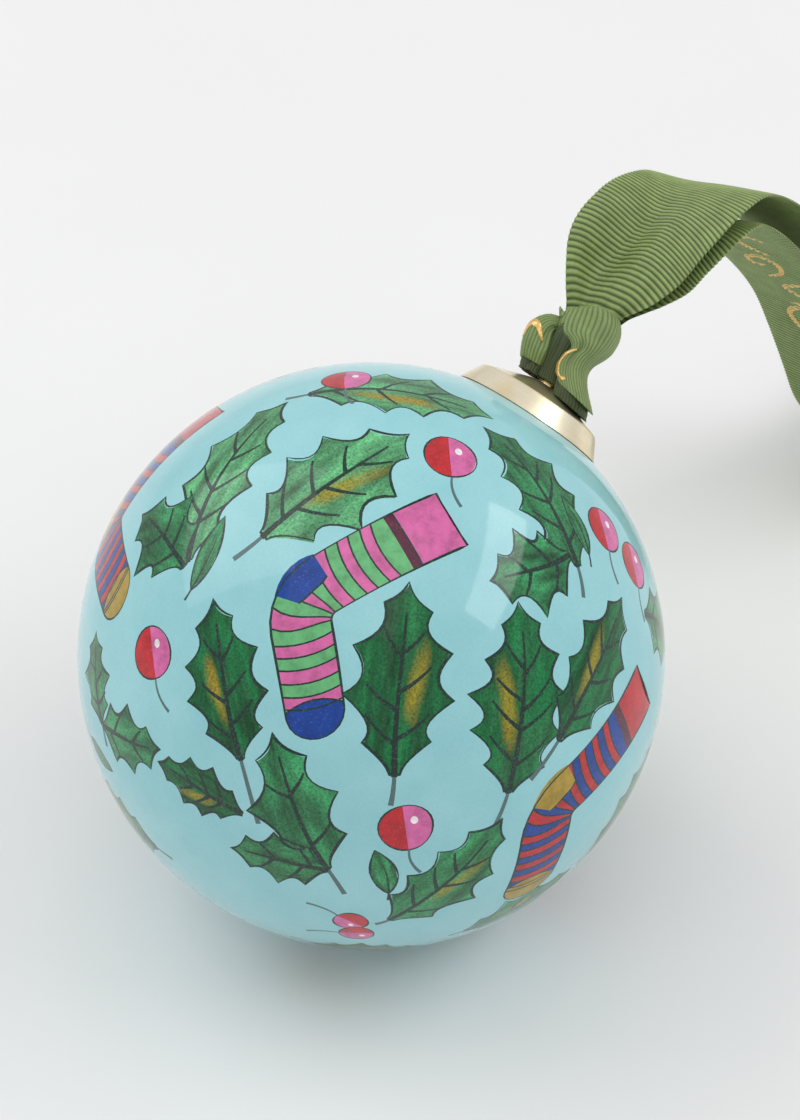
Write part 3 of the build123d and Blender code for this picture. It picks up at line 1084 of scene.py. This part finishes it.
# The knot is placed by (right, up) in the cap's frame and by how far out it is, all in
# millimetres from the ball's centre. The ribbon is crushed there, and its flutes run
# down its length.
FLUTE_MM = 0.46
FLUTE_HEIGHT_MM = 0.06
STRAP_STEP_MM = 0.22
KNURL_MM = 0.022  # fine threads across the flutes
KNURL_PITCH_MM = 0.55
MEAN_DEPTH_MM = 2.4  # about half of a strap's depth, for counting its flutes
SQUARENESS = 2.4  # of a strap's section: 2 is an ellipse, and more is nearer to a box
FOLDS = 7
FOLD_DEPTH_MM = 0.45
FOOT_SHARE = 0.14  # of a strap's length, where it ruffles
# Rows that close a strap's foot: how far back from the foot, and how far in.
FOOT_HOLLOW = ((0.0, 0.35), (0.7, 0.8), (2.2, 1.1))
KNOT_TURN = math.radians(26)  # the knot sits turned on the ring, about the cap's axis
# The legs lie between the ring's and the ribbon's bodies, and their hems between the eye's and the
# ring's: the two bodies, and the heights between which a piece would pass from following one to
# following the other. Such pieces are left where they are, on no body.
LEG_BEND = ("ring", "ribbon", 46.5, 52.0)
HEM_BEND = ("eye", "ring", 43.6, 46.4)

# Sections down each strap: its left side, its right side, how far out its middle is and
# half its depth. The first strap is the band drawn tight round the knot, which runs on
# down into the right leg.
BAND = [
    ((-2.2, 55.4), (1.2, 57.3), 0.0, 2.2),
    ((-3.4, 54.3), (2.6, 57.2), 0.0, 3.3),
    ((-3.6, 53.1), (3.8, 56.3), 0.1, 3.9),
    ((-3.2, 51.8), (4.6, 54.8), 0.3, 4.3),
    ((-2.2, 50.7), (4.9, 53.2), 0.7, 4.3),
    ((0.3, 50.2), (5.0, 51.8), 1.5, 3.7),
    ((1.1, 49.6), (4.9, 50.7), 2.0, 3.0),
    ((0.7, 48.5), (4.6, 49.5), 2.3, 2.7),
    ((0.7, 47.1), (4.6, 48.2), 2.3, 2.6),
    ((1.2, 45.9), (5.4, 46.8), 2.3, 2.6),
    ((1.7, 45.4), (6.5, 45.6), 2.3, 2.7),
    ((2.2, 45.0), (7.6, 44.5), 2.2, 2.8),
    ((2.6, 44.8), (8.2, 43.7), 2.1, 2.8),
]
LEFT_LEG = [
    ((-1.4, 53.0), (-0.9, 51.2), 0.8, 1.4),
    ((-3.1, 53.1), (-1.9, 51.1), 1.2, 1.9),
    ((-4.5, 52.7), (-2.2, 50.8), 1.6, 2.4),
    ((-5.6, 51.6), (-1.9, 50.1), 1.9, 2.8),
    ((-6.2, 50.1), (-1.4, 49.2), 2.0, 3.1),
    ((-6.1, 48.5), (-1.0, 48.1), 2.0, 3.1),
    ((-5.7, 47.1), (-0.9, 47.0), 2.0, 2.9),
    ((-5.2, 46.0), (-1.0, 46.1), 1.9, 2.5),
    ((-4.9, 45.5), (-1.1, 45.6), 1.8, 2.2),
]
# The crumpled hems below the two legs, in a grosgrain painted dark as shade.
LEFT_HEM = [
    ((-4.9, 46.6), (-1.0, 46.6), 1.7, 2.1),
    ((-4.8, 45.3), (-0.8, 45.4), 1.6, 2.1),
    ((-4.4, 44.2), (-0.7, 44.3), 1.5, 2.0),
]
RIGHT_HEM = [
    ((1.5, 46.2), (5.9, 46.2), 2.1, 2.2),
    ((1.8, 45.0), (7.0, 44.7), 2.1, 2.5),
    ((2.2, 43.8), (7.9, 43.1), 2.0, 2.6),
    ((2.4, 43.2), (8.0, 42.4), 2.0, 2.4),
]
FOLD_BACK = [
    ((-1.6, 56.0), (2.6, 57.0), -1.6, 1.6),
    ((-2.6, 53.4), (3.8, 54.6), -2.0, 2.1),
    ((-2.9, 51.0), (2.9, 51.4), -2.1, 1.9),
    ((-2.8, 49.0), (1.7, 49.2), -2.2, 1.5),
]
# The tuck between the legs, in the grosgrain painted dark as shade.
TUCK = [
    ((-2.2, 52.2), (1.9, 52.2), 2.7, 1.7),
    ((-2.1, 50.6), (1.9, 50.6), 2.9, 1.7),
    ((-1.9, 49.0), (1.8, 49.0), 2.8, 1.6),
    ((-1.7, 47.2), (1.8, 47.2), 2.8, 1.1),
    ((-1.5, 45.4), (1.8, 45.4), 2.5, 0.7),
    ((-1.5, 44.4), (2.2, 44.4), 2.4, 0.5),
]


def from_cap(points):
    """Points (right, up, out) in the knot's frame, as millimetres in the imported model's."""
    turned = Matrix.Rotation(-KNOT_TURN, 3, CAP_UP)
    axes = np.array([turned @ CAP_RIGHT, CAP_UP, turned @ CAP_OUT])
    return np.array(BALL_CENTRE) / MM + np.asarray(points, float) @ axes


class Strap:
    """A crushed strap of ribbon, swept through its sections, with folds down its length."""

    def __init__(self, sections, seed, ruffle=0.0):
        left = np.array([row[0] + (row[2],) for row in sections])
        right = np.array([row[1] + (row[2],) for row in sections])
        self.places = along_line((left + right) / 2)
        self.length = self.places[-1]
        self.values = np.hstack([left, right, [[row[3]] for row in sections]])
        self.ruffle = ruffle
        rng = random.Random(seed)
        self.folds = []
        for _ in range(FOLDS):
            place, width = rng.uniform(0, TURN), rng.uniform(0.10, 0.24)
            depth = rng.uniform(0.3, 1.0) * FOLD_DEPTH_MM
            middle, drift = rng.uniform(0.2, 0.8), rng.uniform(-0.6, 0.6)
            self.folds.append((place, width, depth, middle, drift))

    def at(self, along, turn, height=0.0):
        """Points in millimetres; turn goes round from the right side by the front."""
        row = smooth_through(self.places, self.values, along)
        share = along / self.length
        c, s = np.cos(turn), np.sin(turn)
        square = (np.abs(c) ** SQUARENESS + np.abs(s) ** SQUARENESS) ** (-1 / SQUARENESS)
        off = np.asarray(height) + np.zeros_like(along)
        for place, width, depth, middle, drift in self.folds:
            way = np.angle(np.exp(1j * (turn - place - drift * (share - 0.5))))
            fade = np.exp(-(((share - middle) / 0.3) ** 2))
            off = off - depth * np.exp(-((way / width) ** 2)) * fade
        foot = np.clip((share - 1 + FOOT_SHARE) / FOOT_SHARE, 0, 1) ** 2
        off = off + self.ruffle * foot * (0.4 + 0.6 * np.sin(9 * turn + 1.0))
        half = (row[:, 3:6] - row[:, :3]) / 2
        wide = half * (square * c)[:, None] + normalised(half) * (off * c)[:, None]
        deep = np.zeros_like(wide)
        deep[:, 2] = (row[:, 6] * square + off) * s
        return from_cap((row[:, :3] + row[:, 3:6]) / 2 + wide + deep)


def strap_object(name, strap, material, bend):
    """The closed strap: flutes down its length, and a hollow, folded end at its foot."""
    widths = np.linalg.norm(strap.values[:, 3:6] - strap.values[:, :3], axis=1)
    flutes = int(math.pi * (widths.mean() / 2 + MEAN_DEPTH_MM) / FLUTE_MM)
    turns = np.linspace(0, TURN, flutes * 4, endpoint=False)
    count = int(strap.length / STRAP_STEP_MM) + 2
    along = np.linspace(0, strap.length, count)
    knurl = KNURL_MM * np.sin(along * TURN / KNURL_PITCH_MM)
    points, cloth = [], []
    for turn in turns:
        flute = FLUTE_HEIGHT_MM * abs(math.sin(turn * flutes / 2)) ** 0.8
        points.append(strap.at(along, np.full(count, turn), flute + knurl))
        for back, inset in FOOT_HOLLOW:
            place = np.array([strap.length - back])
            points.append(strap.at(place, np.array([turn]), flute - inset))
        down = np.append(along, [strap.length] * len(FOOT_HOLLOW))
        round_it = np.full(len(down), turn * flutes / TURN * RIB_MM)
        cloth.append(np.stack([round_it, down, np.zeros(len(down))], 1))
    faces = quads_round(len(turns), count + len(FOOT_HOLLOW))
    return woven_object(name, np.vstack(points), faces, np.vstack(cloth), material, bend)


def selvedge_corner(material):
    """The small pointed corner of ribbon that stands out of the top of the wrap."""
    base = [(-3.3, 52.6, 2.2), (-2.8, 52.8, 3.2), (-2.0, 53.4, 3.6)]
    tip = np.array((-3.9, 54.2, 3.0))
    rows = []
    for share in np.linspace(0, 1, 7):
        row = [np.array(b) * (1 - share) + tip * share for b in base]
        middle = row[1] + np.array((-0.25, 0.2, 0.25)) * math.sin(math.pi * share)
        rows.append([row[0], middle, row[2]])
    front = np.array(rows).reshape(-1, 3)
    thick = np.array((-0.096, -0.04, -0.208))
    count = len(front)
    faces = []
    for n in range(len(rows) - 1):
        for k in range(2):
            a = n * 3 + k
            faces.append((a, a + 1, a + 4, a + 3))
            faces.append((count + a + 3, count + a + 4, count + a + 1, count + a))
        for k in (0, 2):
            a = n * 3 + k
            side = (a, a + 3, count + a + 3, count + a)
            faces.append(side if k == 0 else side[::-1])
    last = count - 3
    for k in (0, 1):
        faces.append((k + 1, k, count + k, count + k + 1))
    for a in (last, last + 1):
        faces.append((a, a + 1, count + a + 1, count + a))
    points = from_cap(np.vstack([front, front + thick]))
    cloth = np.vstack([front, front])
    return woven_object("ribbon_corner", points, faces, cloth, material, LEG_BEND)


# Gold ornament printed on the ribbon: plain waves and hooks, as lists of (along, across)
# shares of a mark's own half size.
WAVE_MARK = [
    (-1.0, -0.6), (-0.6, 0.3), (-0.25, 0.45), (0.05, -0.1), (0.35, -0.35), (0.7, 0.1), (1.0, 0.7)
]
ARCH_MARK = [(0.9, 1.0), (0.1, 0.72), (0.25, 0.4), (-0.5, 0.1), (-0.6, -0.25), (0.0, -0.9)]
CROOK_MARK = [(-1.0, -0.8), (-0.4, 0.1), (0.3, 0.5), (0.75, 0.3), (0.95, -0.2), (0.8, -0.8)]
HOOK_MARK = [(-1.0, 0.2), (-0.4, -0.35), (0.25, -0.5), (0.7, -0.2), (0.85, 0.3), (0.55, 0.65)]
CURL_MARK = [
    (-1.0, -0.2), (-0.4, 0.5), (0.3, 0.6), (0.8, 0.15), (0.5, -0.45), (0.0, -0.35), (0.1, 0.1)
]
# A stroke's section: shares of its half width, and heights in millimetres.
STROKE = [(-1, -0.05), (-0.8, 0.07), (0.8, 0.07), (1, -0.05), (0.8, -0.09), (-0.8, -0.09)]
LEG_STROKE_MM = 0.56
LOOP_STROKE_MM = 0.62
LEG_RADIUS_MM = 2.6  # about that of a leg, which turns a distance across it into an angle
LEG_INK_MM = 0.09  # how far the ink lies off a leg, to clear its flutes
LOOP_MARKS = 9
LOOP_MARK_PITCH_MM = 10.0
FIRST_MARK_SHARE = 0.575  # of the loop's length: just after it turns back on the table


def printed_mark(name, surface, mark, centre, size, half, material, bend=None):
    """A thin raised stroke of ink on a surface that is given in millimetres along and across."""
    mark = np.array(mark) * size + centre
    places = along_line(mark)
    count = max(24, int(places[-1] * 8))
    line = smooth_through(places, mark, np.linspace(0, places[-1], count))
    heading = normalised(np.gradient(line, axis=0))
    width = half * np.sin(np.linspace(0.12, math.pi - 0.12, count)) ** 0.5
    rows = []
    for offset, height in STROKE:
        along = line[:, 0] - heading[:, 1] * width * offset
        across = line[:, 1] + heading[:, 0] * width * offset
        rows.append(surface(along, across, height))
    faces = quads_round(len(rows), count)
    made = mesh_object(name, np.array(rows).reshape(-1, 3) * MM, faces)
    made.data.materials.append(material)
    hold(made, bend)
    return made


def print_marks(cloth, straps, material):
    """The gold marks: one on each leg, and a row down the loop's outer face."""
    made = []
    for name, strap, mark, centre, size in (
        ("left", straps[1], ARCH_MARK, (5.6, 5.4), (2.2, 3.1)),
        ("right", straps[0], CROOK_MARK, (10.6, 5.4), (2.6, 1.3)),
    ):

        def on_strap(along, across, height, strap=strap):
            return strap.at(along, across / LEG_RADIUS_MM, LEG_INK_MM + height)

        name = "gold_print_" + name
        shape = (mark, centre, size, LEG_STROKE_MM)
        made.append(printed_mark(name, on_strap, *shape, material, LEG_BEND))

    def outer(along, across, height):
        ribs = CLOTH_MM / 2 + rib_height(along) * RIB_HEIGHT_MM
        return cloth.at(along, across / RIBBON_HALF_MM, ribs + height)

    for n in range(LOOP_MARKS):
        mark = (WAVE_MARK, CURL_MARK, HOOK_MARK)[n % 3]
        along = cloth.length * FIRST_MARK_SHARE + LOOP_MARK_PITCH_MM * n
        centre = (along, 1.2 * (-1) ** n)
        shape = (mark, centre, (4.8, 5.4), LOOP_STROKE_MM)
        made.append(printed_mark(f"gold_print_{n + 1}", outer, *shape, material))
    return made


def knot_pieces(material, inner):
    """The straps that make the knot and its legs, the first of them the band."""
    # inner is the grosgrain painted dark all over as shade, for the tuck and the two hems
    rows = (
        ("ribbon_band", Strap(BAND, 8, ruffle=0.3), material, LEG_BEND),
        ("ribbon_leg_left", Strap(LEFT_LEG, 3, ruffle=0.2), material, LEG_BEND),
        ("ribbon_fold_back", Strap(FOLD_BACK, 5), material, None),
        ("ribbon_tuck", Strap(TUCK, 6), inner, LEG_BEND),
        ("ribbon_hem_left", Strap(LEFT_HEM, 11, ruffle=0.2), inner, HEM_BEND),
        ("ribbon_hem_right", Strap(RIGHT_HEM, 12, ruffle=0.3), inner, HEM_BEND),
    )
    pieces = [strap_object(*row) for row in rows]
    return pieces + [selvedge_corner(material)], [row[1] for row in rows]


# ---------------------------------------------------------------- the cap and hanger

# Colours at the darkest and at the palest of each metal, and how rough it is.
CAP_GOLD = ((0.88, 0.74, 0.48), (1.00, 0.91, 0.70))
HANGER_BRASS = ((0.50, 0.33, 0.12), (0.74, 0.55, 0.26))


def turned_metal(name, dark, pale, roughness, ring_pitch):
    """Satin metal turned round the cap's axis: fine rings, and a cloudy film of tarnish."""
    material, nodes, shader = principled(name, roughness=roughness, metallic=1.0)
    place = nodes.vector("SUBTRACT", nodes.place_mm(), tuple(BALL_CENTRE / MM))
    height = nodes.vector("DOT_PRODUCT", place, tuple(CAP_UP))
    away = nodes.vector("LENGTH", nodes.vector("CROSS_PRODUCT", place, tuple(CAP_UP)))
    rings = nodes.noise(nodes.join(height, away), scale=1 / ring_pitch, detail=3, roughness=0.7)
    cloud = nodes.noise(place, scale=0.22, detail=4, roughness=0.6)
    grit = nodes.noise(place, scale=5.0, detail=3, roughness=0.7)
    colour = nodes.ramp(cloud, [(0.28, dark), (0.58, pale)])
    colour = nodes.shaded(colour, nodes.ramp(rings, [(0.25, 0.90), (0.65, 1.04)]))
    colour = nodes.shaded(colour, nodes.ramp(grit, [(0.22, 0.80), (0.40, 1.0)]))
    nodes.link(colour, shader, "Base Color")
    wear = nodes.math("ADD", nodes.times(cloud, 0.6), nodes.times(rings, 0.4))
    worn = nodes.ramp(wear, [(0.30, roughness * 1.35), (0.65, roughness * 0.85)])
    nodes.link(worn, shader, "Roughness")
    relief = nodes.math("ADD", rings, nodes.times(grit, 0.3))
    nodes.link(nodes.bump(relief, 0.25, 0.00002), shader, "Normal")
    return material


def cement_material():
    """The grey-white filling under the cap, pitted and a little stained."""
    material, nodes, shader = principled("set_cement", roughness=0.9, specular=0.25)
    place = nodes.place_mm()
    cloud = nodes.noise(place, scale=0.5, detail=4, roughness=0.65)
    pits = nodes.noise(place, scale=2.8, detail=3, roughness=0.7)
    colour = nodes.ramp(cloud, [(0.30, (0.42, 0.40, 0.35)), (0.65, (0.62, 0.60, 0.55))])
    colour = nodes.shaded(colour, nodes.ramp(pits, [(0.30, 0.72), (0.48, 1.0)]))
    nodes.link(colour, shader, "Base Color")
    nodes.link(nodes.bump(pits, 0.5, 0.00020), shader, "Normal")
    return material


def finish_cad_nodes():
    """Better materials for the CAD nodes that stay: the cap, its filling and the hanger."""
    brass = turned_metal("hanger_brass", *HANGER_BRASS, 0.30, 0.35)
    finishes = dict.fromkeys(("hanger_eye", "eye_washer", "hanger_ring"), brass)
    finishes["cap"] = turned_metal("cap_gold", *CAP_GOLD, 0.31, 0.22)
    finishes["cap_cement"] = cement_material()
    for node, material in finishes.items():
        for slot in frame["nodes"][node].material_slots:
            slot.material = material


# ---------------------------------------------------------------- the making

bpy.context.scene.view_settings.view_transform = "Standard"
add_camera()
add_surroundings()
add_softbox("softbox_left", -110, 45, 0.9, (0.75, 0.75), 1.4)
add_softbox("softbox_right", 88, 44, 0.9, (0.75, 0.22), 3.8)
add_softbox("softbox_above", -20, 74, 2.2, (1.8, 1.8), 0.55)
add_floor()
painted_ball()
finish_cad_nodes()
# the loop's grosgrain: painted shade in its grooves, and a painted highlight in the pale crest colour
grosgrain = grosgrain_material("green_grosgrain", GREEN_GROOVE_SHADE, (0.320, 0.420, 0.150))
# the knot's grosgrain: painted shade in the valleys of its flutes, and a painted highlight on their
# crests
crushed = grosgrain_material("crushed_grosgrain", (0.110, 0.165, 0.052), (0.235, 0.320, 0.120))
loop_cloth = LoopCloth()
loop = loop_object(loop_cloth, grosgrain)
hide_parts("ribbon_loop")
# A grosgrain painted near black, as painted shade for the tuck and the hems in the knot's crevices.
painted_shade_grosgrain = grosgrain_material("grosgrain_painted_shade", (0.020, 0.034, 0.010), (0.055, 0.080, 0.028), 0.3)
knot, straps = knot_pieces(crushed, painted_shade_grosgrain)
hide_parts("ribbon_knot")
marks = print_marks(loop_cloth, straps, gold_print_material())
